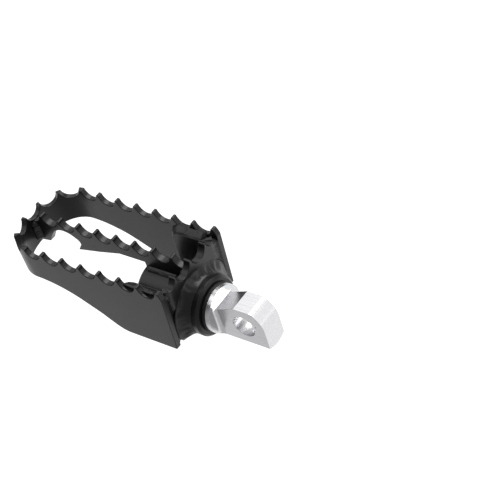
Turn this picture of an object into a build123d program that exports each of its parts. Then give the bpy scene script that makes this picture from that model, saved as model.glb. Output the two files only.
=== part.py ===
from build123d import *
from math import atan2, cos, pi, radians, sin, sqrt, tan
import os

# Foot peg: a serrated steel cage welded to a barrel that turns on an aluminium male mount.
# Frame: origin at the centre of the clevis-pin hole, +X out along the barrel to the toe end
# of the cage, +Y along the pin hole, +Z up towards the teeth.  Millimetres throughout.

os.makedirs("parts", exist_ok=True)

# ---------------------------------------------------------------- teeth
PITCH = 12.65                # tooth spacing on the straight edges
TOOTH_TOP = 29.0             # height of every tooth tip
SCALLOP_R = 5.6              # radius of the round bites between the teeth
SCALLOP_Z = 29.6             # height of the bite centres on the band and the rib
TIP_R = 0.6                  # rounding of the tooth tips
TOE_SCALLOP_R = 5.35         # slightly smaller bites round the toe, where the tips crowd inwards
TOE_TIP_R = 0.25
CUT_ROOM = 8.0               # how far the cutting shapes reach past the metal
COMB_OVERRUN = 1.0

# ---------------------------------------------------------------- side band
HALF_WIDTH = 25.15           # outer face of the straight legs
BAND_T = 3.2
END_X = 30.2                 # inner end of the cage at the height of the barrel axis
END_LEAN = 3.9               # degrees that the inner end leans inboard towards the teeth
END_CREST = [(30.25, 29.0), (29.1, 27.1), (28.5, 25.2)]   # slope from the end tooth to the cut
TOE_X = 137.85               # outermost point of the toe
TOE_R = 34.0                 # flat middle arc of the toe
CORNER_R = 19.0              # tighter arcs that join it to the straight legs
BAND_LOW = -10.1             # lower edge along the deep inner half
TOE_LOW = 9.8                # lower edge round the toe end
RISE_POINTS = [(61.0, BAND_LOW), (80.6, -0.9), (96.0, 6.1), (118.0, TOE_LOW)]
BAND_TIP_X = 31.0            # first tooth tip on each leg
BAND_BITES = 6               # full bites on each straight leg
TOE_BITE_TURN = 21.3         # bites on the middle arc: one square ahead, one each side
CORNER_BITE_TURN = 60.5      # one bite on each corner arc
INNER_Y = HALF_WIDTH - BAND_T

# ---------------------------------------------------------------- cross bracket
SHEET_T = 4.0                # end plate and wings are one bent sheet
WING_END = 56.5
WING_TOP = 23.2
WING_R = 5.0                 # rounding of the wing corners
BRACKET_BEND_R = 1.6
BRACKET_OUTER_R = BRACKET_BEND_R + SHEET_T
CROSS_PITCH = HALF_WIDTH / 2
CROSS_SCALLOP_Z = 28.7
CROSS_END_Y = 17.2           # smaller bite at each end, where the sheet starts to bend
CROSS_END_R = 4.2
CROSS_TIP_R = 0.45
NUB_Y = 19.3                 # the corners of the bend stand lower than the teeth
NUB_TOP = 25.4
PLATE_NOTCH_R = 16.0         # notch that sits over the barrel
PLATE_ARCH = (18.2, -7.9)    # crest of the shallow arch in the lower edge
PLATE_ARCH_END = (13.0, -9.3)

# ---------------------------------------------------------------- centre rib
RIB_T = 4.0
RIB_TIP_X = 39.3             # first full tooth tip on the rib
RIB_BITES = 9
RIB_END = 134.5
RIB_UNDER = 19.3             # lower edge between the barrel and the kink
RIB_STEP_X = 59.0
RIB_KINK_X = 75.7
RIB_WAIST = (90.2, 15.6)
HOOK_TIP = (107.0, 11.9)
NOTCH_START = (103.6, 16.6)
NOTCH_HEEL = (103.7, 18.0)
NOTCH_SHOULDER = (105.7, 20.1)
NOTCH_TOP = (113.2, 23.0)
NOTCH_OUT = (122.6, 18.6)
NOTCH_BELLY = (125.3, 15.3)
RIB_TOE = (127.7, 11.5)
RIB_TOE_END_Z = 10.4
HOOK_R = 0.5

# ---------------------------------------------------------------- barrel
BARREL_R = 15.9
BARREL_X0 = 20.7
BARREL_X1 = 60.6
BORE_R = 9.6
BARREL_CHAMFER = 1.3
COUNTERBORE_R = 13.9
COUNTERBORE_X = 54.2

# ---------------------------------------------------------------- male mount
BAR_R = 12.7
TONGUE_HALF = 6.35
TONGUE_TOP = 11.0
TONGUE_END = -12.5
FACET_X = (-5.94, 3.5)       # ends of the short flat on top
ROUND_MID = (-10.4, 6.93)    # point on the rounded upper end
SHOULDER_X = 16.0
RAMP_FOOT_Z = 5.7
FLANGE_BACK = 18.5
ROOT_R = 2.4                 # fillet where the flats meet the shoulder
PIN_HOLE_R = 6.45
SPIGOT_R = 9.525
SPIGOT_END = 54.0
TAPPED_R = 3.05
TAPPED_END = 36.0
SPIGOT_CHAMFER = 1.0
MACHINING_ROOM = 20.0        # overrun of every cut past the bar

# ---------------------------------------------------------------- small pieces
SEAL_R = 13.0
SEAL_BORE_R = 9.8
SEAL_T = 2.1
SEAL_ROUND = 0.5
DISC_R = 13.6
DISC_X0 = 54.3
DISC_X1 = 60.6
DISC_CHAMFER = 0.9
DISC_FLOOR_X = 56.0
DISC_HOLE_R = 3.3
RECESS_R = 5.2
RECESS_CHAMFER = 0.4
HEAD_R = 4.9
HEAD_X1 = 59.9
HEAD_CHAMFER = 0.5
HEX_AF = 5.0
HEX_DEPTH = 2.4
SCREW_R = 3.0
SCREW_END = 39.0

# ---------------------------------------------------------------- weld beads
RING_BEAD_X = 24.3           # toe of the ring bead on the barrel
RING_BEAD_R = 22.0           # toe of the ring bead on the end plate
RING_BEAD_CREST = (26.1, 19.5)
RING_BEAD_ARC = 244.0
SEAM_DIP = (0.9, 20.0)       # depth and position of the hollow in the seam bead
SEAM_Y = 17.6                # where the seam bead runs out on the bend
SEAM_DEPTH = 4.0
SEAM_Z = (-8.6, 24.0)
WING_BEAD = 3.6              # width of the wing bead on the sheet
WING_BEAD_RUN = 3.2          # and on the band
WING_BEAD_LOW = -5.0         # it runs up the end of the wing, round its corner and along the top
WING_BEAD_X = 35.0
RIB_BEAD_RISE = 1.7
RIB_BEAD_RUN = 2.2
RIB_BEAD_X = (37.5, 58.5)
PLATE_BEAD = 2.4
PLATE_BEAD_Z = (17.6, 23.4)
TOE_BEAD = 3.2
TOE_BEAD_EDGE = 0.6          # thickness left at the outer edge of the toe bead
TOE_BEAD_Z = (11.2, 23.6)

# the inner end of the cage: its face, and the section square to that face (x is the depth)
lean = radians(END_LEAN)
END_PLANE = Plane(origin=(END_X, 0, 0), x_dir=(0, 1, 0), z_dir=(cos(lean), 0, sin(lean)))
SECTION = Plane(origin=(END_X, 0, 0), x_dir=(cos(lean), 0, sin(lean)), z_dir=(-sin(lean), 0, cos(lean)))

# centres of the toe arcs
TOE_CENTRE = TOE_X - TOE_R
CORNER_Y = HALF_WIDTH - CORNER_R
CORNER_X = TOE_CENTRE + sqrt((TOE_R - CORNER_R) ** 2 - CORNER_Y**2)


def end_x(z, depth=0.0):
    """X of the leaning inner end at height z, or of the face that lies depth behind it."""
    return END_X - z * tan(lean) + depth / cos(lean)


def comb(bites, centre_z, lip_r=TIP_R):
    """Sketch of a serration cutter: a strip above the tooth line and a row of round bites."""
    first = min(x - r for x, r in bites)
    last = max(x + r for x, r in bites)
    with BuildSketch(Plane.XY) as cutter:
        with Locations(((first + last) / 2, TOOTH_TOP + CUT_ROOM / 2)):
            Rectangle(last - first + 2 * COMB_OVERRUN, CUT_ROOM)
        for x, r in bites:
            with Locations((x, centre_z)):
                Circle(r)
        lips = cutter.vertices().filter_by_position(Axis.Y, TOOTH_TOP - lip_r, TOOTH_TOP + lip_r)
        fillet(lips.filter_by_position(Axis.X, first - COMB_OVERRUN / 2, last + COMB_OVERRUN / 2), lip_r)
    return cutter.sketch


def toe_line(inset):
    """Plan outline of the U band at a distance inside its outer face."""
    corner = CORNER_R - inset
    swing = atan2(CORNER_Y, CORNER_X - TOE_CENTRE)
    half = (swing + pi / 2) / 2
    for side in (1, -1):
        leg = (CORNER_X, side * (HALF_WIDTH - inset))
        middle = (CORNER_X + corner * cos(half), side * (CORNER_Y + corner * sin(half)))
        join = (CORNER_X + corner * cos(swing), side * (CORNER_Y + corner * sin(swing)))
        Line((0, side * (HALF_WIDTH - inset)), leg)
        ThreePointArc(leg, middle, join)
    ThreePointArc((join[0], -join[1]), (TOE_X - inset, 0), join)


# ================================================================ side band
with BuildPart() as side_band:
    with BuildSketch(Plane.XY.offset(BAND_LOW)):
        for inset, mode in ((0, Mode.ADD), (BAND_T, Mode.SUBTRACT)):
            with BuildLine():
                toe_line(inset)
                Line((0, inset - HALF_WIDTH), (0, HALF_WIDTH - inset))
            make_face(mode=mode)
    extrude(amount=TOOTH_TOP - BAND_LOW)
    # the lower edge rises in a long S towards the toe
    with BuildSketch(Plane.XZ):
        with BuildLine():
            Spline(*RISE_POINTS, tangents=[(1, 0), (1, 0)])
            Polyline(
                RISE_POINTS[-1],
                (TOE_X + HALF_WIDTH, TOE_LOW),
                (TOE_X + HALF_WIDTH, BAND_LOW - PITCH),
                (RISE_POINTS[0][0], BAND_LOW - PITCH),
                RISE_POINTS[0],
            )
        make_face()
    extrude(amount=2 * HALF_WIDTH, both=True, mode=Mode.SUBTRACT)
    # leaning cut across both inner ends, with the short slope below the end teeth
    with BuildSketch(Plane.XZ):
        with BuildLine():
            Polyline(
                (END_CREST[0][0], TOOTH_TOP + CUT_ROOM),
                *END_CREST,
                (end_x(BAND_LOW - CUT_ROOM), BAND_LOW - CUT_ROOM),
                (-CUT_ROOM, BAND_LOW - CUT_ROOM),
                (-CUT_ROOM, TOOTH_TOP + CUT_ROOM),
                (END_CREST[0][0], TOOTH_TOP + CUT_ROOM),
            )
        make_face()
    extrude(amount=2 * HALF_WIDTH, both=True, mode=Mode.SUBTRACT)
    # teeth along both legs, the last bite where the corner begins
    with BuildSketch(Plane.XZ):
        add(comb([(BAND_TIP_X + (i + 0.5) * PITCH, SCALLOP_R) for i in range(BAND_BITES)], SCALLOP_Z))
    extrude(amount=2 * HALF_WIDTH, both=True, mode=Mode.SUBTRACT)
    with BuildSketch(Plane.XZ):
        last_bite = BAND_TIP_X + (BAND_BITES + 0.5) * PITCH
        add(comb([(last_bite, TOE_SCALLOP_R)], SCALLOP_Z, TOE_TIP_R))
    extrude(amount=2 * HALF_WIDTH, both=True, mode=Mode.SUBTRACT)
    # teeth round the toe, each bite cut square to the band
    spokes = [(TOE_CENTRE, 0, 0)]
    for side in (1, -1):
        spokes.append((TOE_CENTRE, 0, side * TOE_BITE_TURN))
        spokes.append((CORNER_X, side * CORNER_Y, side * CORNER_BITE_TURN))
    for x, y, turn in spokes:
        ahead = Vector(1, 0, 0).rotate(Axis.Z, turn)
        across = Vector(0, 1, 0).rotate(Axis.Z, turn)
        with BuildSketch(Plane(origin=(x, y, 0), x_dir=across, z_dir=ahead)):
            add(comb([(0, TOE_SCALLOP_R)], SCALLOP_Z, TOE_TIP_R))
        extrude(amount=2 * HALF_WIDTH, mode=Mode.SUBTRACT)
side_band.part.label = "side_band"
export_step(side_band.part, "parts/side_band.step")

# ================================================================ cross bracket
with BuildPart() as cross_bracket:
    with BuildSketch(END_PLANE):
        with BuildLine():
            ThreePointArc(
                (-INNER_Y, BAND_LOW),
                (-PLATE_ARCH[0], PLATE_ARCH[1]),
                (-PLATE_ARCH_END[0], PLATE_ARCH_END[1]),
            )
            Line((-PLATE_ARCH_END[0], PLATE_ARCH_END[1]), PLATE_ARCH_END)
            ThreePointArc(PLATE_ARCH_END, PLATE_ARCH, (INNER_Y, BAND_LOW))
            Polyline(
                (INNER_Y, BAND_LOW),
                (INNER_Y, NUB_TOP),
                (NUB_Y, NUB_TOP),
                (NUB_Y, TOOTH_TOP),
                (-NUB_Y, TOOTH_TOP),
                (-NUB_Y, NUB_TOP),
                (-INNER_Y, NUB_TOP),
                (-INNER_Y, BAND_LOW),
            )
        make_face()
        cross_bites = [(side * CROSS_PITCH / 2, SCALLOP_R) for side in (-1, 1)]
        cross_bites += [(side * CROSS_END_Y, CROSS_END_R) for side in (-1, 1)]
        add(comb(cross_bites, CROSS_SCALLOP_Z, CROSS_TIP_R), mode=Mode.SUBTRACT)
    extrude(amount=SHEET_T)
    # wings folded back along the inside of the band
    for side in (-1, 1):
        with BuildSketch(Plane.XZ.offset(-side * (INNER_Y - SHEET_T / 2))):
            with BuildLine():
                Polyline(
                    (end_x(BAND_LOW), BAND_LOW),
                    (WING_END, BAND_LOW),
                    (WING_END, WING_TOP),
                    (end_x(WING_TOP), WING_TOP),
                    (end_x(BAND_LOW), BAND_LOW),
                )
            outline = make_face()
            fillet(outline.vertices().sort_by(Axis.X)[-2:], WING_R)
        extrude(amount=SHEET_T / 2, both=True)
    uprights = cross_bracket.edges().filter_by(
        lambda e: e.geom_type == GeomType.LINE
        and e.length > SCALLOP_R + TIP_R
        and e.center().X < end_x(0, SHEET_T) + TIP_R
        and abs((e @ 1).Z - (e @ 0).Z) > e.length / 2
    )
    fillet(
        uprights.filter_by(lambda e: abs(abs(e.center().Y) - (INNER_Y - SHEET_T)) < TIP_R),
        BRACKET_BEND_R,
    )
    fillet(
        cross_bracket.edges().filter_by(
            lambda e: e.length > WING_TOP
            and abs(abs(e.center().Y) - INNER_Y) < TIP_R
            and e.center().X < end_x(0) + TIP_R
            and abs((e @ 1).Z - (e @ 0).Z) > e.length / 2
        ),
        BRACKET_OUTER_R,
    )
    # notch that sits over the barrel
    with BuildSketch(Plane.YZ):
        Circle(PLATE_NOTCH_R)
    extrude(amount=WING_END, mode=Mode.SUBTRACT)
cross_bracket.part.label = "cross_bracket"
export_step(cross_bracket.part, "parts/cross_bracket.step")

# ================================================================ centre rib with opener hook
with BuildPart() as centre_rib:
    with BuildSketch(Plane.XZ) as rib_outline:
        with BuildLine():
            Polyline(
                (end_x(BARREL_R, SHEET_T), BARREL_R),
                (RIB_STEP_X, BARREL_R),
                (RIB_STEP_X, RIB_UNDER),
                (RIB_KINK_X, RIB_UNDER),
                RIB_WAIST,
                HOOK_TIP,
                NOTCH_START,
            )
            ThreePointArc(NOTCH_START, NOTCH_HEEL, NOTCH_SHOULDER)
            ThreePointArc(NOTCH_SHOULDER, NOTCH_TOP, NOTCH_OUT)
            ThreePointArc(NOTCH_OUT, NOTCH_BELLY, RIB_TOE)
            Polyline(
                RIB_TOE,
                (RIB_END, RIB_TOE_END_Z),
                (RIB_END, TOOTH_TOP),
                (end_x(TOOTH_TOP, SHEET_T), TOOTH_TOP),
                (end_x(BARREL_R, SHEET_T), BARREL_R),
            )
        make_face()
        low = rib_outline.vertices().filter_by_position(Axis.Z, RIB_TOE[1] - TIP_R, HOOK_TIP[1] + TIP_R)
        fillet(low.filter_by_position(Axis.X, NOTCH_START[0], RIB_TOE[0] + TIP_R), HOOK_R)
        rib_bites = [(RIB_TIP_X + (i - 0.5) * PITCH, SCALLOP_R) for i in range(RIB_BITES)]
        add(comb(rib_bites, SCALLOP_Z), mode=Mode.SUBTRACT)
    extrude(amount=RIB_T / 2, both=True)
centre_rib.part.label = "centre_rib"
export_step(centre_rib.part, "parts/centre_rib.step")

# ================================================================ barrel
with BuildPart() as barrel:
    with BuildSketch(Plane.XZ):
        with BuildLine():
            Polyline(
                (BARREL_X0, BORE_R),
                (BARREL_X0, BARREL_R - BARREL_CHAMFER),
                (BARREL_X0 + BARREL_CHAMFER, BARREL_R),
                (BARREL_X1 - BARREL_CHAMFER, BARREL_R),
                (BARREL_X1, BARREL_R - BARREL_CHAMFER),
                (BARREL_X1, COUNTERBORE_R),
                (COUNTERBORE_X, COUNTERBORE_R),
                (COUNTERBORE_X, BORE_R),
                (BARREL_X0, BORE_R),
            )
        make_face()
    revolve(axis=Axis.X)
barrel.part.label = "barrel"
export_step(barrel.part, "parts/barrel.step")

# ================================================================ male mount
with BuildPart() as male_mount:
    with BuildSketch(Plane.YZ.offset(TONGUE_END)):
        Circle(BAR_R)
    extrude(amount=FLANGE_BACK - TONGUE_END)
    # two side flats with filleted roots
    for side in (-1, 1):
        with BuildSketch(Plane.XY) as flat_cut:
            with Locations((SHOULDER_X - MACHINING_ROOM, side * (TONGUE_HALF + MACHINING_ROOM / 2))):
                Rectangle(2 * MACHINING_ROOM, MACHINING_ROOM)
            root = flat_cut.vertices().sort_by_distance((SHOULDER_X, side * TONGUE_HALF, 0))[0]
            fillet(root, ROOT_R)
        extrude(amount=MACHINING_ROOM, both=True, mode=Mode.SUBTRACT)
    # rounded upper end, short flat and the ramp down to the shoulder
    with BuildSketch(Plane.XZ):
        with BuildLine():
            Polyline(
                (SHOULDER_X, RAMP_FOOT_Z),
                (FACET_X[1], TONGUE_TOP),
                (FACET_X[0], TONGUE_TOP),
            )
            ThreePointArc((FACET_X[0], TONGUE_TOP), ROUND_MID, (TONGUE_END, 0))
            Polyline(
                (TONGUE_END, 0),
                (TONGUE_END - MACHINING_ROOM, 0),
                (TONGUE_END - MACHINING_ROOM, MACHINING_ROOM),
                (SHOULDER_X, MACHINING_ROOM),
                (SHOULDER_X, RAMP_FOOT_Z),
            )
        make_face()
    extrude(amount=MACHINING_ROOM, both=True, mode=Mode.SUBTRACT)
    # clevis-pin hole
    with BuildSketch(Plane.XZ):
        Circle(PIN_HOLE_R)
    extrude(amount=MACHINING_ROOM, both=True, mode=Mode.SUBTRACT)
    # spigot the barrel turns on, tapped for the retaining screw
    with BuildSketch(Plane.YZ.offset(FLANGE_BACK)):
        Circle(SPIGOT_R)
    extrude(amount=SPIGOT_END - FLANGE_BACK)
    chamfer(male_mount.faces().sort_by(Axis.X)[-1].edges(), SPIGOT_CHAMFER)
    with BuildSketch(Plane.YZ.offset(TAPPED_END)):
        Circle(TAPPED_R)
    extrude(amount=SPIGOT_END - TAPPED_END, mode=Mode.SUBTRACT)
male_mount.part.label = "male_mount"
export_step(male_mount.part, "parts/male_mount.step")

# ================================================================ seal ring
with BuildPart() as seal_ring:
    with BuildSketch(Plane.YZ.offset(FLANGE_BACK)):
        Circle(SEAL_R)
        Circle(SEAL_BORE_R, mode=Mode.SUBTRACT)
    extrude(amount=SEAL_T)
    rims = seal_ring.edges().filter_by(lambda e: e.length > pi * (SEAL_BORE_R + SEAL_R))
    fillet(rims, SEAL_ROUND)
seal_ring.part.label = "seal_ring"
export_step(seal_ring.part, "parts/seal_ring.step")

# ================================================================ retaining disc
with BuildPart() as retaining_disc:
    with BuildSketch(Plane.XZ):
        with BuildLine():
            Polyline(
                (DISC_X0, DISC_HOLE_R),
                (DISC_X0, DISC_R),
                (DISC_X1 - DISC_CHAMFER, DISC_R),
                (DISC_X1, DISC_R - DISC_CHAMFER),
                (DISC_X1, RECESS_R + RECESS_CHAMFER),
                (DISC_X1 - RECESS_CHAMFER, RECESS_R),
                (DISC_FLOOR_X, RECESS_R),
                (DISC_FLOOR_X, DISC_HOLE_R),
                (DISC_X0, DISC_HOLE_R),
            )
        make_face()
    revolve(axis=Axis.X)
retaining_disc.part.label = "retaining_disc"
export_step(retaining_disc.part, "parts/retaining_disc.step")

# ================================================================ socket screw
with BuildPart() as disc_screw:
    with BuildSketch(Plane.YZ.offset(DISC_FLOOR_X)):
        Circle(HEAD_R)
    extrude(amount=HEAD_X1 - DISC_FLOOR_X)
    chamfer(disc_screw.faces().sort_by(Axis.X)[-1].edges(), HEAD_CHAMFER)
    with BuildSketch(Plane.YZ.offset(SCREW_END)):
        Circle(SCREW_R)
    extrude(amount=DISC_FLOOR_X - SCREW_END)
    with BuildSketch(Plane.YZ.offset(HEAD_X1 - HEX_DEPTH)):
        RegularPolygon(HEX_AF / 2, 6, major_radius=False)
    extrude(amount=HEX_DEPTH, mode=Mode.SUBTRACT)
disc_screw.part.label = "disc_screw"
export_step(disc_screw.part, "parts/disc_screw.step")

# ================================================================ weld beads
with BuildPart() as weld_barrel_ring:
    start = Plane.XZ.rotated((-RING_BEAD_ARC / 2, 0, 0))
    with BuildSketch(start):
        with BuildLine():
            ThreePointArc((RING_BEAD_X, BARREL_R), RING_BEAD_CREST, (END_X, RING_BEAD_R))
            Polyline(
                (END_X, RING_BEAD_R),
                (END_X + SHEET_T, RING_BEAD_R),
                (END_X + SHEET_T, BARREL_R),
                (RING_BEAD_X, BARREL_R),
            )
        make_face()
    revolve(axis=Axis.X, revolution_arc=RING_BEAD_ARC)
    with BuildSketch(END_PLANE):
        Rectangle(4 * HALF_WIDTH, 4 * HALF_WIDTH)
    extrude(amount=2 * HALF_WIDTH, mode=Mode.SUBTRACT)
weld_barrel_ring.part.label = "weld_barrel_ring"
export_step(weld_barrel_ring.part, "parts/weld_barrel_ring.step")

# the seam beads lie in the hollow between the rounded bend and the band, which begins here
bend_y = INNER_Y - BRACKET_OUTER_R


def bend_depth(y):
    """Depth of the rounded outer bend behind the end face, at a distance y from the middle."""
    return BRACKET_OUTER_R - sqrt(BRACKET_OUTER_R**2 - (y - bend_y) ** 2)


def bend_position(depth):
    """Distance from the middle at which the rounded bend has a given depth."""
    return bend_y + sqrt(BRACKET_OUTER_R**2 - (BRACKET_OUTER_R - depth) ** 2)


with BuildPart() as weld_seam_left:
    with BuildSketch(SECTION.offset(SEAM_Z[0])):
        with BuildLine():
            run_out = (bend_depth(SEAM_Y), SEAM_Y)
            halfway = (bend_depth(SEAM_DIP[1]), SEAM_DIP[1])
            inner_end = (SEAM_DEPTH, bend_position(SEAM_DEPTH))
            ThreePointArc((0, INNER_Y), SEAM_DIP, run_out)
            ThreePointArc(run_out, halfway, inner_end)
            Polyline(inner_end, (SEAM_DEPTH, INNER_Y), (0, INNER_Y))
        make_face()
    extrude(amount=SEAM_Z[1] - SEAM_Z[0])
weld_seam_left.part.label = "weld_seam_left"
export_step(weld_seam_left.part, "parts/weld_seam_left.step")

with BuildPart() as weld_seam_right:
    mirror(weld_seam_left.part, about=Plane.XZ)
weld_seam_right.part.label = "weld_seam_right"
export_step(weld_seam_right.part, "parts/weld_seam_right.step")

with BuildPart() as weld_wing_left:
    with BuildLine(Plane.XZ.offset(-INNER_Y)) as wing_edge:
        Line((WING_END, WING_BEAD_LOW), (WING_END, WING_TOP - WING_R))
        CenterArc((WING_END - WING_R, WING_TOP - WING_R), WING_R, 0, 90)
        Line((WING_END - WING_R, WING_TOP), (WING_BEAD_X, WING_TOP))
    with BuildSketch(Plane.XY.offset(WING_BEAD_LOW)):
        with BuildLine():
            Polyline(
                (WING_END, INNER_Y),
                (WING_END, INNER_Y - WING_BEAD),
                (WING_END + WING_BEAD_RUN, INNER_Y),
                (WING_END, INNER_Y),
            )
        make_face()
    sweep(path=wing_edge.wires()[0])
weld_wing_left.part.label = "weld_wing_left"
export_step(weld_wing_left.part, "parts/weld_wing_left.step")

with BuildPart() as weld_wing_right:
    mirror(weld_wing_left.part, about=Plane.XZ)
weld_wing_right.part.label = "weld_wing_right"
export_step(weld_wing_right.part, "parts/weld_wing_right.step")

with BuildPart() as weld_rib_barrel_left:
    with BuildSketch(Plane.YZ.offset(RIB_BEAD_X[0])):
        with BuildLine():
            Polyline(
                (RIB_T / 2, BARREL_R - RIB_BEAD_RISE),
                (RIB_T / 2, BARREL_R + RIB_BEAD_RISE),
                (RIB_T / 2 + RIB_BEAD_RUN, BARREL_R - RIB_BEAD_RISE / 2),
                (RIB_T / 2 + RIB_BEAD_RUN, BARREL_R - RIB_BEAD_RISE),
                (RIB_T / 2, BARREL_R - RIB_BEAD_RISE),
            )
        make_face()
        Circle(BARREL_R, mode=Mode.SUBTRACT)
    extrude(amount=RIB_BEAD_X[1] - RIB_BEAD_X[0])
weld_rib_barrel_left.part.label = "weld_rib_barrel_left"
export_step(weld_rib_barrel_left.part, "parts/weld_rib_barrel_left.step")

with BuildPart() as weld_rib_barrel_right:
    mirror(weld_rib_barrel_left.part, about=Plane.XZ)
weld_rib_barrel_right.part.label = "weld_rib_barrel_right"
export_step(weld_rib_barrel_right.part, "parts/weld_rib_barrel_right.step")

with BuildPart() as weld_rib_plate_left:
    with BuildSketch(SECTION.offset(PLATE_BEAD_Z[0])):
        with BuildLine():
            Polyline(
                (SHEET_T, RIB_T / 2),
                (SHEET_T + PLATE_BEAD, RIB_T / 2),
                (SHEET_T, RIB_T / 2 + PLATE_BEAD),
                (SHEET_T, RIB_T / 2),
            )
        make_face()
    extrude(amount=PLATE_BEAD_Z[1] - PLATE_BEAD_Z[0])
weld_rib_plate_left.part.label = "weld_rib_plate_left"
export_step(weld_rib_plate_left.part, "parts/weld_rib_plate_left.step")

with BuildPart() as weld_rib_plate_right:
    mirror(weld_rib_plate_left.part, about=Plane.XZ)
weld_rib_plate_right.part.label = "weld_rib_plate_right"
export_step(weld_rib_plate_right.part, "parts/weld_rib_plate_right.step")

with BuildPart() as weld_rib_toe_left:
    with BuildSketch(Plane.XY.offset(TOE_BEAD_Z[0])):
        with Locations((TOE_CENTRE, 0)):
            Circle(TOE_R - BAND_T)
        with BuildLine():
            Polyline(
                (RIB_END - TOE_BEAD, RIB_T / 2),
                (TOE_X - BAND_T, RIB_T / 2),
                (TOE_X - BAND_T, RIB_T / 2 + TOE_BEAD),
                (RIB_END - TOE_BEAD_EDGE, RIB_T / 2 + TOE_BEAD),
                (RIB_END - TOE_BEAD, RIB_T / 2),
            )
        make_face(mode=Mode.INTERSECT)
    extrude(amount=TOE_BEAD_Z[1] - TOE_BEAD_Z[0])
weld_rib_toe_left.part.label = "weld_rib_toe_left"
export_step(weld_rib_toe_left.part, "parts/weld_rib_toe_left.step")

with BuildPart() as weld_rib_toe_right:
    mirror(weld_rib_toe_left.part, about=Plane.XZ)
weld_rib_toe_right.part.label = "weld_rib_toe_right"
export_step(weld_rib_toe_right.part, "parts/weld_rib_toe_right.step")
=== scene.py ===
from itertools import pairwise
from math import asin, atan2, ceil, cos, degrees, pi, radians, sin, sqrt, tan

import bpy
from mathutils import Euler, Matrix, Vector, noise
from mathutils.geometry import delaunay_2d_cdt


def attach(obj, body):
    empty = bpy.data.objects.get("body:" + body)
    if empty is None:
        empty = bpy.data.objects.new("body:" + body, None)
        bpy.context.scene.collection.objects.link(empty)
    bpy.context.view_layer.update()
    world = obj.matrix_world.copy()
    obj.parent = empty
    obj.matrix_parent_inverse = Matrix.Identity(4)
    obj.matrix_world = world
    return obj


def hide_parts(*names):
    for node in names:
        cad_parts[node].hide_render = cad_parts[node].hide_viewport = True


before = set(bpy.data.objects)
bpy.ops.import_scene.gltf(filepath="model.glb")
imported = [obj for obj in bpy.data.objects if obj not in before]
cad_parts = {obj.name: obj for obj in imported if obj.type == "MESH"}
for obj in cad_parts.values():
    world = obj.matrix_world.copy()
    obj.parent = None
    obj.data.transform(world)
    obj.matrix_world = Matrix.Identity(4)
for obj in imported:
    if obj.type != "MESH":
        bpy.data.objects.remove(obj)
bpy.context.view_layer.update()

# Foot peg.  Shapes are written in millimetres in the frame of the CAD model: X out along the
# barrel, Y along the pin hole, Z up towards the teeth.
MM = 0.001

# ---------------------------------------------------------------- sizes
PITCH = 12.65
TOOTH_TOP = 29.0
BITE_R = 5.6
BITE_Z = 29.6
LIP_R = 0.6
TOE_BITE_R = 5.35
TOE_LIP_R = 0.4
BITE_STEPS = 22
LIP_STEPS = 4
RIM = 0.35                       # rounding of the plate rims
RIM_STEPS = 3

HALF_WIDTH = 25.15
BAND_T = 3.2
INNER_Y = HALF_WIDTH - BAND_T
BAND_LOW = -10.1
TOE_LOW = 9.8
RISE = [(118.0, TOE_LOW), (96.0, 6.1), (80.6, -0.9), (61.0, BAND_LOW)]
END_X = 30.2
LEAN = radians(3.9)
END_CREST = [(28.5, 25.2), (29.1, 27.1), (30.25, TOOTH_TOP)]
TOE_X = 137.85
TOE_R = 34.0
CORNER_R = 19.0
TOE_CENTRE = TOE_X - TOE_R
CORNER_Y = HALF_WIDTH - CORNER_R
CORNER_X = TOE_CENTRE + sqrt((TOE_R - CORNER_R) ** 2 - CORNER_Y**2)

SHEET_T = 4.0
BEND_R = 5.6
WING_END = 56.5
WING_TOP = 23.2
WING_R = 5.0
SADDLE_R = 16.0                  # round bite of the end plate that sits on the barrel
END_PLATE_TOP = 25.4
PLATE_BITE_Z = 28.7
PLATE_LIP = 0.45
OUTER_BITE = (-17.2, 4.2)        # place and radius of the bite at each end of the plate

RIB_T = 4.0
RIB_END = 134.5
RIB_START = 32.9
RIB_FIRST_TOOTH = 39.3
RIB_FOOT_X = 59.0
RIB_TOE = (127.7, 11.5)
NOTCH_BELLY = (125.3, 15.3)      # the opener notch, from the toe back to its hook
NOTCH_OUT = (122.6, 18.6)
NOTCH_TOP = (113.2, 23.0)
NOTCH_SHOULDER = (105.7, 20.1)
NOTCH_HEEL = (103.7, 18.0)
NOTCH_START = (103.6, 16.6)
HOOK_TIP = (107.0, 11.9)

BARREL_R = 15.9
BARREL_X = (20.7, 60.6)
BARREL_CHAMFER = 1.3
POCKET_R = 13.9                  # the disc lies in this pocket in the barrel's outer end
POCKET_X = 54.2
BORE_R = 9.6

FLANGE_R = 12.7
SPIGOT_R = 9.525
TAPPED_R = 3.05
PIN_R = 6.45
NECK = (13.6, 8.75)              # centre of the round hollow between tongue and flange
NECK_R = 2.4
ROUND_END = ((-5.94, 11.0), (-10.4, 6.93), (-12.5, 0.0))


# ---------------------------------------------------------------- outlines
# An outline is a list of (point, normal out of the metal), in order with the metal on the right.
def left_of(way):
    return Vector((-way.y, way.x))


def arc(centre, radius, begin, end, steps, hollow=False):
    """Points along an arc, angles in degrees; hollow where the metal is outside the circle."""
    made = []
    for i in range(steps + 1):
        angle = radians(begin + (end - begin) * i / steps)
        out = Vector((cos(angle), sin(angle)))
        made.append((Vector(centre) + radius * out, -out if hollow else out))
    return made


def bite(x, centre_z, radius=BITE_R, lip=LIP_R):
    """A round bite with a rounded tooth lip at each side, left to right."""
    drop = centre_z - TOOTH_TOP + lip
    half = sqrt((radius + lip) ** 2 - drop**2)
    slope = degrees(atan2(drop, half))
    hollow = arc((x, centre_z), radius, 180 + slope, 360 - slope, BITE_STEPS, hollow=True)
    return (
        arc((x - half, TOOTH_TOP - lip), lip, 90, slope, LIP_STEPS)
        + hollow[1:-1]
        + arc((x + half, TOOTH_TOP - lip), lip, 180 - slope, 90, LIP_STEPS)
    )


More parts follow.
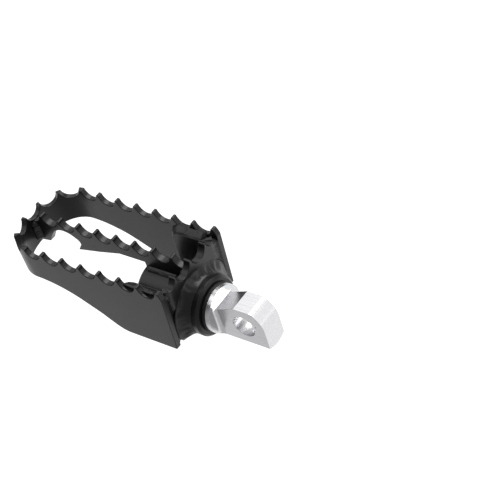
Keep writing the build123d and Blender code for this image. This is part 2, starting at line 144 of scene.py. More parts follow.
def corner(before, at, after, radius, steps=5):
    """The rounded corner between two straight edges."""
    before, at, after = Vector(before), Vector(at), Vector(after)
    back = (before - at).normalized()
    ahead = (after - at).normalized()
    half = back.angle(ahead) / 2
    centre = at + (back + ahead).normalized() * radius / sin(half)
    start = at + back * radius / tan(half) - centre
    right_hand = back.cross(ahead) > 0
    begin = degrees(atan2(start.y, start.x))
    sweep = 180 - degrees(2 * half)
    return arc(centre, radius, begin, begin - sweep if right_hand else begin + sweep, steps, not right_hand)


def corners(points, radius, closed=False):
    """Rounded corners at every inner point of an open line, or at every point of a closed one."""
    made = []
    count = len(points)
    for i in range(0 if closed else 1, count if closed else count - 1):
        made += corner(points[i - 1], points[i], points[(i + 1) % count], radius)
    return made


def circle_centre(a, middle, b):
    """Centre of the circle through three points."""
    p, q = Vector(middle) - Vector(a), Vector(b) - Vector(a)
    across = Vector((
        q.y * p.length_squared - p.y * q.length_squared,
        p.x * q.length_squared - q.x * p.length_squared,
    ))
    return Vector(a) + across / (2 * p.cross(q))


def through(a, middle, b, steps):
    """Points on the arc from a over middle to b."""
    centre = circle_centre(a, middle, b)
    start, end = Vector(a) - centre, Vector(b) - centre
    sweep = atan2(start.cross(end), start.dot(end))
    turned = atan2(start.y, start.x)
    radius = start.length
    return [
        centre + radius * Vector((cos(turned + sweep * i / steps), sin(turned + sweep * i / steps)))
        for i in range(steps + 1)
    ]


def flowing(points, steps=10):
    """A smooth line through points that starts and ends level."""
    points = [Vector(p) for p in points]
    gaps = [(b - a).length for a, b in pairwise(points)]
    ways = [(b - a) / gap for (a, b), gap in zip(pairwise(points), gaps)]
    slopes = [Vector((ways[0].x, 0)).normalized()]
    for i in range(1, len(points) - 1):
        slopes.append((ways[i - 1] * gaps[i] + ways[i] * gaps[i - 1]) / (gaps[i] + gaps[i - 1]))
    slopes.append(Vector((ways[-1].x, 0)).normalized())
    made = [points[0]]
    for i, gap in enumerate(gaps):
        for k in range(1, steps + 1):
            t = k / steps
            made.append(
                (2 * t**3 - 3 * t**2 + 1) * points[i]
                + (t**3 - 2 * t**2 + t) * gap * slopes[i]
                + (3 * t**2 - 2 * t**3) * points[i + 1]
                + (t**3 - t**2) * gap * slopes[i + 1]
            )
    return made


def traced(points, radius=0.45, sharp=25):
    """An outline along plain points, with rounded corners where the line turns sharply."""
    points = [Vector(p) for p in points]
    made = []
    for before, at, after in zip(points, points[1:], points[2:]):
        back, ahead = at - before, after - at
        if degrees(back.angle(ahead)) > sharp:
            made += corner(before, at, after, radius)
        else:
            made.append((at, left_of(back + ahead).normalized()))
    return made


def mirrored(half, middle):
    """The same outline on the other side of u = middle."""
    return [(Vector((2 * middle - at.x, at.y)), Vector((-out.x, out.y))) for at, out in reversed(half)]


def bent_line(start, heading, stretches):
    """A line of straight and right-turning stretches (length, radius or 0).  The function it
    returns gives the point at a length along it and a depth to its right, and the way left."""
    stations = []
    at, angle, run = Vector(start), heading, 0.0
    for length, radius in stretches:
        stations.append((run, at.copy(), angle, radius))
        run += length
        if radius:
            out = left_of(Vector((cos(angle), sin(angle))))
            angle -= length / radius
            at += radius * (left_of(Vector((cos(angle), sin(angle)))) - out)
        else:
            at += length * Vector((cos(angle), sin(angle)))

    def where(length, depth):
        begun, at, angle, radius = [s for s in stations if s[0] <= length or s is stations[0]][-1]
        along = length - begun
        if radius:
            out = left_of(Vector((cos(angle), sin(angle))))
            turned = angle - along / radius
            now = left_of(Vector((cos(turned), sin(turned))))
            return at - radius * out + (radius - depth) * now, now
        way = Vector((cos(angle), sin(angle)))
        return at + along * way - depth * left_of(way), left_of(way)

    return where


# ---------------------------------------------------------------- meshes
class Skin:
    """Points, their shading normals, and faces turned to agree with them."""

    def __init__(self):
        self.points, self.normals, self.faces = [], [], []

    def add(self, point, normal):
        self.points.append(point)
        self.normals.append(normal.normalized())
        return len(self.points) - 1

    def face(self, *ids):
        ids = [i for k, i in enumerate(ids) if i != ids[k - 1]]
        if len(ids) < 3:
            return
        p = [self.points[i] for i in ids]
        flat = (p[1] - p[0]).cross(p[2] - p[0])
        if len(p) == 4:
            flat = (p[2] - p[0]).cross(p[3] - p[1])
        outward = sum((self.normals[i] for i in ids), Vector((0, 0, 0)))
        self.faces.append(ids if flat.dot(outward) >= 0 else ids[::-1])

    def object(self, name, exact=True):
        mesh = bpy.data.meshes.new(name)
        mesh.from_pydata([p * MM for p in self.points], [], self.faces)
        mesh.shade_smooth()
        if exact:
            mesh.normals_split_custom_set_from_vertices(self.normals)
        made = bpy.data.objects.new(name, mesh)
        bpy.context.scene.collection.objects.link(made)
        return made


def hand_over(made, finish, node_name, body):
    """Gives a piece its material and puts it in place of its CAD node."""
    made.data.materials.clear()
    made.data.materials.append(finish)
    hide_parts(node_name)
    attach(made, body)


def plate(name, outline, thickness, lay, spots=(), rim=RIM):
    """A closed plate with rounded rims.  lay(u, v, depth) gives the place in space and the
    directions of u, v and the front face there; spots are points inside, for curved faces."""
    skin = Skin()
    quarter = [pi / 2 * k / RIM_STEPS for k in range(RIM_STEPS + 1)]
    rings = [(rim * (1 - sin(a)), rim * (1 - cos(a)), cos(a), sin(a)) for a in quarter]
    rings += [(inset, thickness - depth, -face, side) for inset, depth, face, side in reversed(rings)]
    rows = []
    for inset, depth, face, side in rings:
        row = []
        for at, out in outline:
            spot = at - inset * out
            place, u, v, front = lay(spot.x, spot.y, depth)
            row.append(skin.add(place, face * front + side * (out.x * u + out.y * v)))
        rows.append(row)
    count = len(outline)
    for near, far in pairwise(rows):
        for i in range(count):
            skin.face(near[i - 1], near[i], far[i], far[i - 1])
    inside = [at - rim * out for at, out in outline]
    inside += [Vector(s) for s in spots]
    flat, _, triangles, origin, _, _ = delaunay_2d_cdt(inside, [], [list(range(count))], 1, 1e-7)
    for depth, side, row in ((0, 1, rows[0]), (thickness, -1, rows[-1])):
        ids = []
        for at, sources in zip(flat, origin):
            if sources and sources[0] < count:
                ids.append(row[sources[0]])
            else:
                place, _, _, front = lay(at.x, at.y, depth)
                ids.append(skin.add(place, side * front))
        for triangle in triangles:
            skin.face(*[ids[i] for i in triangle])
    return skin.object(name)


def lathe(name, outline, steps=96):
    """A ring turned about the X axis from an outline in (x, radius)."""
    skin = Skin()
    rows = []
    for k in range(steps):
        turn = 2 * pi * k / steps
        out = Vector((0, cos(turn), sin(turn)))
        along = Vector((1, 0, 0))
        rows.append([skin.add(at.x * along + at.y * out, n.x * along + n.y * out) for at, n in outline])
    for k in range(steps):
        for i in range(len(outline)):
            skin.face(rows[k - 1][i - 1], rows[k - 1][i], rows[k][i], rows[k][i - 1])
    return skin.object(name)


BEAD_STEP = 0.45
BEAD_ACROSS = 10
BEAD_FADE = 1.8                  # length over which a bead thins out at its ends


def bead(name, section, length, pitch=1.9, ripple=0.22, wobble=0.35, seed=0):
    """A weld bead.  section(t) gives its toe, crest and other toe and a point in the metal
    below, for t from 0 to 1; ripples run across it as crescents and it thins out at both ends."""
    skin = Skin()
    steps = ceil(length / BEAD_STEP)
    rows = []
    for k in range(steps + 1):
        t = k / steps
        toe, crest, heel, root = section(t)
        swell = min(1.0, sqrt(max(0.0, min(t, 1 - t)) * length / BEAD_FADE))
        row = []
        for j in range(BEAD_ACROSS + 1):
            w = j / BEAD_ACROSS
            wander = noise.noise(Vector((t * length / 3.5, w * 1.6, seed * 7.3)))
            phase = (t * length / pitch + 1.1 * (2 * w - 1) ** 2 + 0.35 * wander) % 1.0
            lift = ripple * (sin(pi * phase) ** 0.7 - 0.6) + wobble * wander
            hill = (1 - w) ** 2 * toe + 2 * w * (1 - w) * crest + w**2 * heel
            outward = (crest - root).normalized()
            spot = root + (hill - root) * (0.25 + 0.75 * swell) + outward * lift * sin(pi * w) * swell
            row.append(skin.add(spot, outward))
        row.append(skin.add(root, -outward))
        rows.append(row)
    for near, far in pairwise(rows):
        for j in range(BEAD_ACROSS + 2):
            skin.faces.append([near[j - 1], far[j - 1], far[j], near[j]])
    skin.faces.append(rows[0])
    skin.faces.append(rows[-1][::-1])
    made = skin.object(name, exact=False)
    start = made.data.vertices[0].co
    if sum((f.center - start).dot(f.normal) * f.area for f in made.data.polygons) < 0:
        made.data.flip_normals()
    return made


CROSSWAYS = {"X": (1, 2), "Y": (0, 2), "Z": (0, 1)}
AGREE = 0.997                    # how closely a face must look along its cylinder's radius
ON_ROUND = 2e-5                  # and how closely its corners must lie on it, in metres


def spoke(spot, axis, centre):
    """The way straight out from a cylinder's axis to a spot."""
    a, b = CROSSWAYS[axis]
    way = Vector((0, 0, 0))
    way[a] = spot[a] - centre[0] * MM
    way[b] = spot[b] - centre[1] * MM
    return way


def true_round(source, name, cylinders):
    """A copy of a CAD piece that shades as exact flats and cylinders (axis, centre, radius)."""
    mesh = source.data.copy()
    mesh.name = name
    normals = [None] * len(mesh.loops)
    for face in mesh.polygons:
        flat = face.normal.copy()
        for axis, centre, radius in cylinders:
            spokes = [spoke(mesh.vertices[v].co, axis, centre) for v in face.vertices]
            agree = spoke(face.center, axis, centre).normalized().dot(flat)
            if abs(agree) > AGREE and all(abs(s.length - radius * MM) < ON_ROUND for s in spokes):
                side = 1 if agree > 0 else -1
                for loop, way in zip(face.loop_indices, spokes):
                    normals[loop] = side * way.normalized()
                break
        else:
            for loop in face.loop_indices:
                normals[loop] = flat
    mesh.shade_smooth()
    mesh.normals_split_custom_set(normals)
    made = bpy.data.objects.new(name, mesh)
    made.matrix_world = source.matrix_world
    bpy.context.scene.collection.objects.link(made)
    return made


# ---------------------------------------------------------------- materials
def node(tree, kind, **values):
    """Adds one shader node and sets its properties or, by name, its inputs."""
    made = tree.nodes.new(kind)
    for key, value in values.items():
        if hasattr(made, key):
            setattr(made, key, value)
        else:
            made.inputs[key.replace("_", " ")].default_value = value
    return made


def new_material(name, roughness, metallic=0.0, specular=0.5):
    material = bpy.data.materials.new(name)
    material.use_nodes = True
    tree = material.node_tree
    shader = tree.nodes["Principled BSDF"]
    shader.inputs["Roughness"].default_value = roughness
    shader.inputs["Metallic"].default_value = metallic
    shader.inputs["Specular IOR Level"].default_value = specular
    return material, tree, shader


def place_scaled(tree, scale):
    """Object coordinates stretched by scale."""
    place = node(tree, "ShaderNodeTexCoord")
    stretch = node(tree, "ShaderNodeMapping")
    stretch.inputs["Scale"].default_value = scale
    tree.links.new(place.outputs["Object"], stretch.inputs["Vector"])
    return stretch.outputs["Vector"]


def ramp(tree, factor, stops):
    """A grey ramp with stops (position, grey)."""
    made = node(tree, "ShaderNodeValToRGB")
    elements = made.color_ramp.elements
    while len(elements) < len(stops):
        elements.new(0.5)
    for element, (position, grey) in zip(elements, stops):
        element.position = position
        element.color = (grey, grey, grey * 1.01, 1)
    tree.links.new(factor, made.inputs["Fac"])
    return made.outputs["Color"]


def roughen(tree, shader, height, strength, distance):
    """Bumps the surface by the heights of a texture."""
    bump = node(tree, "ShaderNodeBump", Strength=strength, Distance=distance)
    tree.links.new(height, bump.inputs["Height"])
    tree.links.new(bump.outputs["Normal"], shader.inputs["Normal"])


def powder_coat():
    """Semi-gloss black powder coat with orange peel and a cloudy gloss."""
    material, tree, shader = new_material("black_powder", 0.34, specular=0.30)
    place = place_scaled(tree, (1, 1, 1))
    cloud = node(tree, "ShaderNodeTexNoise", Scale=70.0, Detail=4.0)
    tree.links.new(place, cloud.inputs["Vector"])
    tone = ramp(tree, cloud.outputs["Fac"], [(0.3, 0.0045), (0.7, 0.009)])
    tree.links.new(tone, shader.inputs["Base Color"])
    gloss = node(tree, "ShaderNodeMapRange", To_Min=0.26, To_Max=0.40)
    tree.links.new(cloud.outputs["Fac"], gloss.inputs["Value"])
    tree.links.new(gloss.outputs["Result"], shader.inputs["Roughness"])
    peel = node(tree, "ShaderNodeTexNoise", Scale=900.0, Detail=2.0)
    tree.links.new(place, peel.inputs["Vector"])
    roughen(tree, shader, peel.outputs["Fac"], 0.12, 0.0001)
    return material


def machined():
    """Bright aluminium: milled side flats a little darker, fine tool marks and a few pits."""
    material, tree, shader = new_material("machined_aluminium", 0.27, metallic=1.0)
    streak = node(tree, "ShaderNodeTexNoise", Scale=4.0, Detail=5.0)
    tree.links.new(place_scaled(tree, (8, 420, 420)), streak.inputs["Vector"])
    light = ramp(tree, streak.outputs["Fac"], [(0.25, 0.58), (0.75, 0.68)])
    face = node(tree, "ShaderNodeTexCoord")
    axes = node(tree, "ShaderNodeSeparateXYZ")
    tree.links.new(face.outputs["Normal"], axes.inputs["Vector"])
    sideways = node(tree, "ShaderNodeMath", operation="ABSOLUTE")
    tree.links.new(axes.outputs["Y"], sideways.inputs[0])
    milled = node(tree, "ShaderNodeMapRange", From_Min=0.9, From_Max=0.99, To_Min=0.0, To_Max=1.0)
    tree.links.new(sideways.outputs["Value"], milled.inputs["Value"])
    mix = node(tree, "ShaderNodeMix", data_type="RGBA", blend_type="MULTIPLY")
    tree.links.new(milled.outputs["Result"], mix.inputs["Factor"])
    tree.links.new(light, mix.inputs["A"])
    mix.inputs["B"].default_value = (0.84, 0.84, 0.85, 1)
    cell = node(tree, "ShaderNodeTexVoronoi", Scale=95.0)
    tree.links.new(place_scaled(tree, (1, 1, 1)), cell.inputs["Vector"])
    pit = ramp(tree, cell.outputs["Distance"], [(0.035, 0.35), (0.06, 1.0)])
    pitted = node(tree, "ShaderNodeMix", data_type="RGBA", blend_type="MULTIPLY")
    pitted.inputs["Factor"].default_value = 1.0
    tree.links.new(mix.outputs["Result"], pitted.inputs["A"])
    tree.links.new(pit, pitted.inputs["B"])
    tree.links.new(pitted.outputs["Result"], shader.inputs["Base Color"])
    rounding = node(tree, "ShaderNodeBevel", samples=6, Radius=0.00022)
    marks = node(tree, "ShaderNodeBump", Strength=0.10, Distance=0.00004)
    tree.links.new(streak.outputs["Fac"], marks.inputs["Height"])
    tree.links.new(rounding.outputs["Normal"], marks.inputs["Normal"])
    tree.links.new(marks.outputs["Normal"], shader.inputs["Normal"])
    return material


def turned_steel(name, grey, roughness):
    """Metal with fine rings about the X axis."""
    material, tree, shader = new_material(name, roughness, metallic=1.0)
    rings = node(tree, "ShaderNodeTexWave", wave_type="RINGS", rings_direction="X", Scale=900.0)
    rings.inputs["Distortion"].default_value = 0.6
    rings.inputs["Detail"].default_value = 2.0
    tree.links.new(place_scaled(tree, (1, 1, 1)), rings.inputs["Vector"])
    tone = ramp(tree, rings.outputs["Fac"], [(0.0, grey * 0.8), (1.0, grey * 1.15)])
    tree.links.new(tone, shader.inputs["Base Color"])
    roughen(tree, shader, rings.outputs["Fac"], 0.15, 0.00003)
    return material


def rubber():
    """Dull black rubber with a fine grain."""
    material, tree, shader = new_material("black_rubber", 0.6, specular=0.3)
    grain = node(tree, "ShaderNodeTexNoise", Scale=600.0, Detail=4.0)
    tree.links.new(place_scaled(tree, (1, 1, 1)), grain.inputs["Vector"])
    tone = ramp(tree, grain.outputs["Fac"], [(0.3, 0.004), (0.7, 0.012)])
    tree.links.new(tone, shader.inputs["Base Color"])
    roughen(tree, shader, grain.outputs["Fac"], 0.3, 0.00008)
    return material


black = powder_coat()
bright = machined()
seal_black = rubber()
disc_steel = turned_steel("disc_steel", 0.42, 0.3)
screw_steel = turned_steel("screw_steel", 0.22, 0.35)


# ---------------------------------------------------------------- side band
swing = atan2(CORNER_Y, CORNER_X - TOE_CENTRE)
corner_arc = CORNER_R * (pi / 2 - swing)
middle_arc = 2 * TOE_R * swing
NOSE = CORNER_X + corner_arc + middle_arc / 2
band_line = bent_line(
    (0, HALF_WIDTH), 0,
    [(CORNER_X, 0), (corner_arc, CORNER_R), (middle_arc, TOE_R), (corner_arc, CORNER_R), (CORNER_X, 0)],
)

# bites on the left half: place along the line, radius, lip radius, radius of the line there
FIRST_TOOTH = 31.0
CORNER_BITE_TURN = 29.5
SIDE_BITE_TURN = 21.3
leg_bites = [(FIRST_TOOTH + (i + 0.5) * PITCH, BITE_R, LIP_R, 0) for i in range(6)]
leg_bites.append((FIRST_TOOTH + 6.5 * PITCH, TOE_BITE_R, TOE_LIP_R, 0))
toe_bites = [
    (CORNER_X + CORNER_R * radians(CORNER_BITE_TURN), TOE_BITE_R, TOE_LIP_R, CORNER_R),
    (NOSE - TOE_R * radians(SIDE_BITE_TURN), TOE_BITE_R, TOE_LIP_R, TOE_R),
    (NOSE, TOE_BITE_R, TOE_LIP_R, TOE_R),
]


def bite_half(radius, lip, line_r, depth):
    """Half the width of a bite along the line, measured on the outer face, at a depth."""
    half = sqrt((radius + lip) ** 2 - (BITE_Z - TOOTH_TOP + lip) ** 2)
    return line_r * asin(half / (line_r - depth)) if line_r else half


def squeeze(length, depth):
    """Keeps each bite square to the band: deeper in, it takes more of the curved line."""
    beyond = length > NOSE
    at = 2 * NOSE - length if beyond else length
    before, moved = 0.0, 0.0
    for place, radius, lip, line_r in leg_bites + toe_bites:
        outer, deep = bite_half(radius, lip, line_r, 0), bite_half(radius, lip, line_r, depth)
        for edge, edge_deep in ((place - outer, place - deep), (place + outer, place + deep)):
            if at <= edge:
                share = (at - before) / (edge - before)
                found = moved + share * (edge_deep - moved)
                return 2 * NOSE - found if beyond else found
            before, moved = edge, edge_deep
    return length


def lay_band(u, v, depth):
    at, out = band_line(squeeze(u, depth), depth)
    along, front = Vector((out.y, -out.x, 0)), Vector((out.x, out.y, 0))
    return Vector((at.x, at.y, v)), along, Vector((0, 0, 1)), front


def along_line(place, line_r, outline):
    """Wraps a bite drawn about u = 0 onto the line."""
    made = []
    for at, out in outline:
        run = line_r * asin(at.x / line_r) if line_r else at.x
        made.append((Vector((place + run, at.y)), out))
    return made


LOW_STEP = 1.2
SPOT_STEP = 1.1
low_count = int((NOSE - RISE[0][0] - 0.5) / LOW_STEP) + 1
low_toe = [Vector((NOSE - i * LOW_STEP, TOE_LOW)) for i in range(low_count)]
half_band = [(at, Vector((0, -1))) for at in low_toe]
half_band += traced([low_toe[-1]] + flowing(RISE, 12) + [(60.0, BAND_LOW)])
end_low = (END_X - BAND_LOW * tan(LEAN), BAND_LOW)
half_band += corner((60.0, BAND_LOW), end_low, END_CREST[0], 0.6)
half_band += corners([end_low, *END_CREST, (32.0, TOOTH_TOP)], 0.45)
for place, radius, lip, line_r in leg_bites + toe_bites:
    half_band += along_line(place, line_r, bite(0, BITE_Z, radius, lip))
half_band = [(at, out) for at, out in half_band if at.x < NOSE - 1e-6]
nose_bite = (Vector((NOSE, BITE_Z - TOE_BITE_R)), Vector((0, 1)))
half_band.append(nose_bite)
band_outline = [(Vector((NOSE, TOE_LOW)), Vector((0, -1)))] + half_band
band_outline += mirrored(half_band[:-1], NOSE)
band_spots = []
for i in range(int((NOSE - CORNER_X) / SPOT_STEP) + 1):
    for side in (-1, 1):
        for z in range(5):
            band_spots.append((NOSE + side * i * SPOT_STEP, TOE_LOW + 1.6 + z * 2.9))
band = plate("toothed_band", band_outline, BAND_T, lay_band, sorted(set(band_spots)))
hand_over(band, black, "side_band", "cage")

# ---------------------------------------------------------------- centre rib
def lay_rib(u, v, depth):
    return Vector((u, RIB_T / 2 - depth, v)), Vector((1, 0, 0)), Vector((0, 0, 1)), Vector((0, 1, 0))


rib_top = []
for i in range(9):
    rib_top += bite(RIB_FIRST_TOOTH + (i - 0.5) * PITCH, BITE_Z)
rib_top = [(at, out) for at, out in rib_top if RIB_START < at.x < RIB_END - 0.1]
notch = through(RIB_TOE, NOTCH_BELLY, NOTCH_OUT, 6)
notch += through(NOTCH_OUT, NOTCH_TOP, NOTCH_SHOULDER, 16)[1:]
notch += through(NOTCH_SHOULDER, NOTCH_HEEL, NOTCH_START, 4)[1:]
rib_low = [(RIB_END, 24.0), (RIB_END, 10.4), *notch]
rib_low += [HOOK_TIP, (90.2, 15.6), (75.7, 19.3), (RIB_FOOT_X, 19.3)]
rib_low += [(RIB_FOOT_X, BARREL_R), (33.1, BARREL_R), (32.75, 23.8), (33.4, 24.0)]
rib = plate("rib_with_opener", rib_top + traced(rib_low, 0.25), RIB_T, lay_rib)
hand_over(rib, black, "centre_rib", "cage")

# ---------------------------------------------------------------- cross bracket
WING_RUN = 30.0
FLAT_HALF = INNER_Y - BEND_R
QUARTER = BEND_R * pi / 2
MIDDLE = WING_RUN - BEND_R + QUARTER + FLAT_HALF
bracket_line = bent_line(
    (WING_RUN, -INNER_Y), pi,
    [(WING_RUN - BEND_R, 0), (QUARTER, BEND_R), (2 * FLAT_HALF, 0), (QUARTER, BEND_R), (WING_RUN, 0)],
)
END_DEPTH = Vector((cos(LEAN), 0, sin(LEAN)))
END_UP = Vector((-sin(LEAN), 0, cos(LEAN)))


def lean_way(depth, y, v):
    return Vector((0, y, 0)) + depth * END_DEPTH + v * END_UP


def lean_point(depth, y, v):
    return Vector((END_X, 0, 0)) + lean_way(depth, y, v)


def lay_bracket(u, v, depth):
    at, out = bracket_line(u, depth)
    along = out.y * END_DEPTH + Vector((0, -out.x, 0))
    front = out.x * END_DEPTH + Vector((0, out.y, 0))
    return lean_point(at.x, at.y, v), along, END_UP, front


def on_plate(y):
    """Length along the bracket's line at a distance y from the middle, y below 0."""
    if y > -FLAT_HALF:
        return MIDDLE + y
    return MIDDLE - FLAT_HALF - BEND_R * asin(min(1.0, (-y - FLAT_HALF) / BEND_R))


def on_wing(x, z):
    """(length along the line, height up the leaning section) of a point on the wing."""
    depth = (x - END_X) * cos(LEAN) + z * sin(LEAN)
    return Vector((WING_RUN - depth, z * cos(LEAN) - (x - END_X) * sin(LEAN)))


half_bracket = arc((MIDDLE, 0), SADDLE_R, 90, 215, 26, hollow=True)
arch = through((-13.0, -9.3), (-18.2, -7.9), (-21.6, -9.9), 8)
bottom = [Vector((on_plate(p.x), p.y)) for p in arch]
bend_low = on_wing(END_X + BEND_R, BAND_LOW)
half_bracket += traced([(MIDDLE - 12.6, -8.2), *bottom, bend_low, on_wing(45, BAND_LOW)], 0.5, 40)
half_bracket += corner(on_wing(45, BAND_LOW), on_wing(WING_END, BAND_LOW), on_wing(WING_END, 0), WING_R)
half_bracket += corner(on_wing(WING_END, 0), on_wing(WING_END, WING_TOP), on_wing(45, WING_TOP), WING_R)
nub = MIDDLE - FLAT_HALF - BEND_R * 1.1
nub_rise = [(nub - 1.2, 23.0), (nub + 0.4, END_PLATE_TOP)]
nub_end = [(on_plate(-19.3), END_PLATE_TOP), (on_plate(-18.9), 24.6)]
half_bracket += corners([on_wing(45, WING_TOP), *nub_rise, *nub_end], 0.4)
for y, radius in (OUTER_BITE, (-PITCH / 2, BITE_R)):
    for at, out in bite(y, PLATE_BITE_Z, radius, PLATE_LIP):
        if at.x > -19.0:
            half_bracket.append((Vector((on_plate(at.x), at.y)), out))
middle_top = (Vector((MIDDLE, TOOTH_TOP)), Vector((0, 1)))
bracket_outline = half_bracket[1:] + [middle_top] + mirrored(half_bracket, MIDDLE)
bracket_spots = []
for side in (-1, 1):
    for i in range(9):
        for z in range(9):
            u = FLAT_HALF + QUARTER * i / 8
            bracket_spots.append((MIDDLE + side * u, -7.0 + z * 3.6))
bracket = plate("bent_bracket", bracket_outline, SHEET_T, lay_bracket, bracket_spots)
hand_over(bracket, black, "cross_bracket", "cage")

# ---------------------------------------------------------------- turned pieces
near, far = BARREL_X
rim_r = BARREL_R - BARREL_CHAMFER
tube_outside = [(near, rim_r), (near + BARREL_CHAMFER, BARREL_R)]
tube_outside += [(far - BARREL_CHAMFER, BARREL_R), (far, rim_r)]
tube_inside = [(far, POCKET_R), (POCKET_X, POCKET_R), (POCKET_X, BORE_R), (near, BORE_R)]
tube = corners(tube_outside + tube_inside, 0.3, closed=True)
hand_over(lathe("barrel_tube", tube), black, "barrel", "cage")
ring = corners([(18.5, 13.0), (20.6, 13.0), (20.6, 9.8), (18.5, 9.8)], 0.5, closed=True)
hand_over(lathe("rubber_seal", ring), seal_black, "seal_ring", "mount")
disc_outside = [(54.3, 13.6), (59.7, 13.6), (far, 12.7)]
disc_inside = [(far, 5.6), (60.2, 5.2), (56.0, 5.2), (56.0, 3.3), (54.3, 3.3)]
disc = corners(disc_outside + disc_inside, 0.12, closed=True)
hand_over(lathe("end_disc", disc), disc_steel, "retaining_disc", "mount")

# ---------------------------------------------------------------- male mount and screw
end_centre = circle_centre(*ROUND_END)
mount = true_round(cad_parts["male_mount"], "aluminium_mount", [
    ("X", (0, 0), FLANGE_R),
    ("X", (0, 0), SPIGOT_R),
    ("X", (0, 0), TAPPED_R),
    ("Y", (0, 0), PIN_R),
    ("Y", end_centre, (Vector(ROUND_END[0]) - end_centre).length),
    ("Z", NECK, NECK_R),
    ("Z", (NECK[0], -NECK[1]), NECK_R),
])
hand_over(mount, bright, "male_mount", "mount")

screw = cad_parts["disc_screw"]
screw.data.materials.clear()
screw.data.materials.append(screw_steel)
weld = screw.modifiers.new("weld", "WELD")
weld.merge_threshold = 1e-6
bevel = screw.modifiers.new("bevel", "BEVEL")
bevel.width = 0.0001
bevel.limit_method = "ANGLE"
bevel.angle_limit = radians(40)

# ---------------------------------------------------------------- weld beads
RING_HALF_ARC = radians(122)


def ring_section(t):
    """The bead over the top of the barrel, from its skin to the end plate."""
    turn = RING_HALF_ARC * (2 * t - 1)
    out = Vector((0, sin(turn), cos(turn)))
    uneven = noise.noise(Vector((9.0 * t, 3.3, 0.7)))
    toe = Vector((24.6 - uneven, 0, 0)) + (BARREL_R - 0.1) * out
    crest = Vector((28.6, 0, 0)) + (17.2 + uneven) * out
    heel = (21.6 + 2.0 * uneven) * out
    heel.x = END_X - heel.z * tan(LEAN) + 0.12
    root = Vector((END_X + 1.5, 0, 0)) + 15.0 * out
    return toe, crest, heel, root


ring_bead = bead("ring_bead", ring_section, 78.0, pitch=3.4, ripple=0.14, wobble=0.8, seed=1)
hand_over(ring_bead, black, "weld_barrel_ring", "cage")


def straight(start, end, points, side):
    """A bead section carried from start to end; points are offsets from that line."""
    def section(t):
        middle = Vector(start).lerp(Vector(end), t)
        return [Vector((p.x, side * p.y, p.z)) for p in (middle + Vector(q) for q in points)]
    return section


WING_BEAD_LOW = -5.0
WING_BEAD_X = 35.0
WING_UP = WING_TOP - WING_R - WING_BEAD_LOW
WING_ROUND = WING_R * pi / 2
WING_BACK = WING_END - WING_R - WING_BEAD_X
WING_PATH = WING_UP + WING_ROUND + WING_BACK


def wing_section(side):
    """The bead up the end of a wing, round its corner and back along its top."""
    def section(t):
        run = t * WING_PATH
        turn = min(max((run - WING_UP) / WING_R, 0), pi / 2)
        out = Vector((cos(turn), 0, sin(turn)))
        middle = Vector((WING_END - WING_R, 0, min(run, WING_UP) + WING_BEAD_LOW))
        middle.x -= max(run - WING_UP - WING_ROUND, 0)
        high = turn / (pi / 2)
        heel = (3.1 - 0.3 * high, 0.1 + 1.4 * high)
        marks = ((-0.1, -3.7), (1.9, -2.0), heel, (-1.0, -0.4))
        return [middle + (WING_R + lift) * out + Vector((0, side * (INNER_Y + y), 0)) for lift, y in marks]
    return section


for side, word in ((1, "left"), (-1, "right")):
    seam = straight(
        lean_point(0, 0, -9.9), lean_point(0, 0, 24.0),
        [
            lean_way(-0.02, INNER_Y + 0.05, 0),
            lean_way(1.5, 20.0, 0),
            lean_way(0.1, 17.5, 0),
            lean_way(3.6, 20.9, 0),
        ],
        side,
    )
    made = bead("seam_bead_" + word, seam, 33.9, pitch=2.0, ripple=0.16, wobble=0.3, seed=2 + side)
    hand_over(made, black, "weld_seam_" + word, "cage")

    climb = wing_section(side)
    made = bead("wing_bead_" + word, climb, WING_PATH, pitch=2.4, ripple=0.14, wobble=0.3, seed=5 + side)
    hand_over(made, black, "weld_wing_" + word, "cage")

    rib_seat = straight(
        (37.5, 0, 0), (58.5, 0, 0),
        [(0, 1.9, 17.4), (0, 3.2, 16.6), (0, 4.1, 15.3), (0, 1.5, 14.9)],
        side,
    )
    made = bead("rib_seat_bead_" + word, rib_seat, 21.0, ripple=0.12, wobble=0.15, seed=8 + side)
    hand_over(made, black, "weld_rib_barrel_" + word, "cage")

    rib_end = straight(
        lean_point(SHEET_T, 0, 17.6), lean_point(SHEET_T, 0, 23.4),
        [(-0.1, 4.4, 0), (1.6, 3.6, 0), (2.4, 1.9, 0), (-0.4, 1.4, 0)],
        side,
    )
    made = bead("rib_end_bead_" + word, rib_end, 5.8, ripple=0.12, wobble=0.15, seed=11 + side)
    hand_over(made, black, "weld_rib_plate_" + word, "cage")

    rib_toe = straight(
        (RIB_END, 0, 11.2), (RIB_END, 0, 23.6),
        [(-3.2, 1.9, 0), (-2.0, 4.2, 0), (-0.3, 5.2, 0), (0.6, 1.4, 0)],
        side,
    )
    made = bead("rib_toe_bead_" + word, rib_toe, 12.4, seed=14 + side)
    hand_over(made, black, "weld_rib_toe_" + word, "cage")


# ---------------------------------------------------------------- stage
CAMERA_AT = (-0.32419, 0.29510, 0.42964)
CAMERA_ANGLES = (47.036, 13.489, -145.833)
CAMERA_LENS = 91.13
FLOOR_Z = -0.35
MIDDLE_AT = Vector((0.07, 0, 0.01))

FLOOR_HALF = 15
SIDES = ((-1, -1), (1, -1), (1, 1), (-1, 1))
floor_mesh = bpy.data.meshes.new("floor")
floor_mesh.from_pydata([(x * FLOOR_HALF, y * FLOOR_HALF, 0) for x, y in SIDES], [], [(0, 1, 2, 3)])
floor = bpy.data.objects.new("floor", floor_mesh)
floor.location.z = FLOOR_Z
bpy.context.scene.collection.objects.link(floor)
# painted light: the floor's own glow stands in for lamp light on it, so no shadow shows on it
glowing_floor, tree, shader = new_material("glowing_floor", 0.95, specular=0.0)
shader.inputs["Base Color"].default_value = (0.12, 0.12, 0.12, 1)
shader.inputs["Emission Color"].default_value = (1, 1, 1, 1)
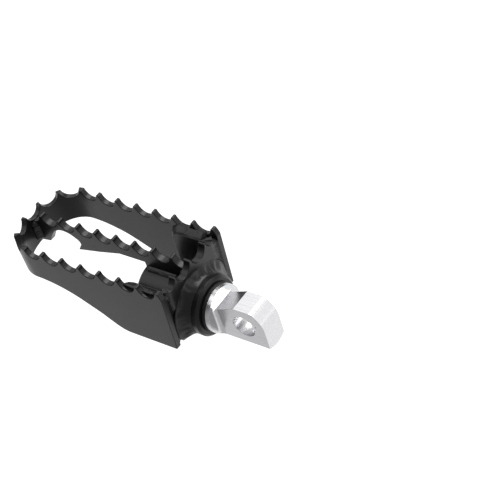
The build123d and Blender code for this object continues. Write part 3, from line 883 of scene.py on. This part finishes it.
# painted light: the floor glows in place of lit paper, and glows less on the side that the near faces of
# the peg reflect, a painted falloff of light
spread = node(tree, "ShaderNodeMapping")
spread.inputs["Rotation"].default_value = (0, 0, radians(75))
tree.links.new(node(tree, "ShaderNodeTexCoord").outputs["Object"], spread.inputs["Vector"])
across_floor = node(tree, "ShaderNodeSeparateXYZ")
tree.links.new(spread.outputs["Vector"], across_floor.inputs["Vector"])
painted_glow_falloff = node(tree, "ShaderNodeMapRange", interpolation_type="SMOOTHSTEP", To_Min=0.4, To_Max=1.06)
painted_glow_falloff.inputs["From Min"].default_value = -0.40
painted_glow_falloff.inputs["From Max"].default_value = 0.02
tree.links.new(across_floor.outputs["X"], painted_glow_falloff.inputs["Value"])
tree.links.new(painted_glow_falloff.outputs["Result"], shader.inputs["Emission Strength"])
floor_mesh.materials.append(glowing_floor)


def softbox(name, way, distance, size, radiance):
    """A square soft light that faces the part from a direction."""
    lamp = bpy.data.lights.new(name, "AREA")
    lamp.shape = "SQUARE"
    lamp.size = size
    lamp.energy = radiance * pi * size**2
    made = bpy.data.objects.new(name, lamp)
    made.location = MIDDLE_AT + distance * Vector(way).normalized()
    made.rotation_euler = Vector(way).to_track_quat("Z", "Y").to_euler()
    bpy.context.scene.collection.objects.link(made)


softbox("overhead", (-0.08, -0.52, 0.85), 1.5, 1.15, 6.0)
softbox("behind", (0.62, -0.50, 0.60), 1.6, 1.1, 0.85)
softbox("left", (-0.85, -0.45, 0.35), 1.6, 1.5, 0.9)
softbox("front", (0.62, 0.30, 0.72), 1.6, 1.2, 1.6)

world = bpy.data.worlds.new("studio")
bpy.context.scene.world = world
world.use_nodes = True
world.node_tree.nodes["Background"].inputs["Color"].default_value = (1, 1, 1, 1)
world.node_tree.nodes["Background"].inputs["Strength"].default_value = 0.4

camera_data = bpy.data.cameras.new("camera")
camera_data.lens = CAMERA_LENS
camera_data.sensor_width = 36
camera = bpy.data.objects.new("camera", camera_data)
camera.location = CAMERA_AT
camera.rotation_euler = Euler([radians(a) for a in CAMERA_ANGLES])
bpy.context.scene.collection.objects.link(camera)
bpy.context.scene.camera = camera
bpy.context.scene.view_settings.view_transform = "Standard"
